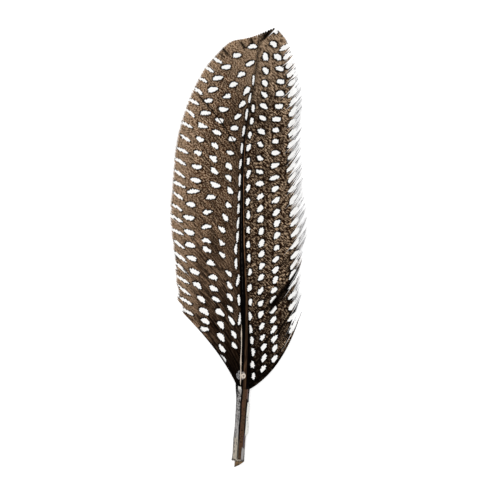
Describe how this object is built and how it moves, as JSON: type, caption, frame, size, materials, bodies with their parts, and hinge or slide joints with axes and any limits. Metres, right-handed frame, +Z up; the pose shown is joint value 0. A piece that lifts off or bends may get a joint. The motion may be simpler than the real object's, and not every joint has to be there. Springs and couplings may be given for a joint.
{
  "type": "quill pen",
  "caption": "Spotted feather quill pen with a slant-cut horn barrel in a thin sheath, a tapering shaft and a vane of separate webs.",
  "frame": {"origin": "on the barrel's axis, half way along the grip between the torn end of the sheath and the lowest barbs", "axes": "+Y along the barrel towards the feather's tip, +Z up from the table it lies on, +X to the narrow vane's side"},
  "size_m": [0.0527, 0.1657, 0.0071],
  "materials": {
    "sheath": "thin translucent grey skin, dull",
    "horn": "dark brown horn, amber at the cut, satin",
    "pulp": "dry papery membrane",
    "cortex": "near-black horn with a brown middle band, satin",
    "pith": "fine dry foam, matte",
    "membrane": "pale thin membrane",
    "vane": "dark brown barbs with rows of white spots, soft sheen"
  },
  "bodies": {
    "root": {"barrel_sheath": "sheath", "horn_tube": "horn", "pulp_caps": "pulp", "shaft_cortex": "cortex", "shaft_pith": "pith", "umbilicus": "membrane", "left_web_1": "vane", "left_web_2": "vane", "left_web_3": "vane", "left_web_4": "vane", "left_web_5": "vane", "left_web_6": "vane", "left_web_7": "vane", "left_web_8": "vane", "right_web_1": "vane", "right_web_2": "vane", "right_web_3": "vane", "right_web_4": "vane", "right_web_5": "vane", "right_web_6": "vane", "right_web_7": "vane", "right_web_8": "vane"}
  },
  "joints": []
}
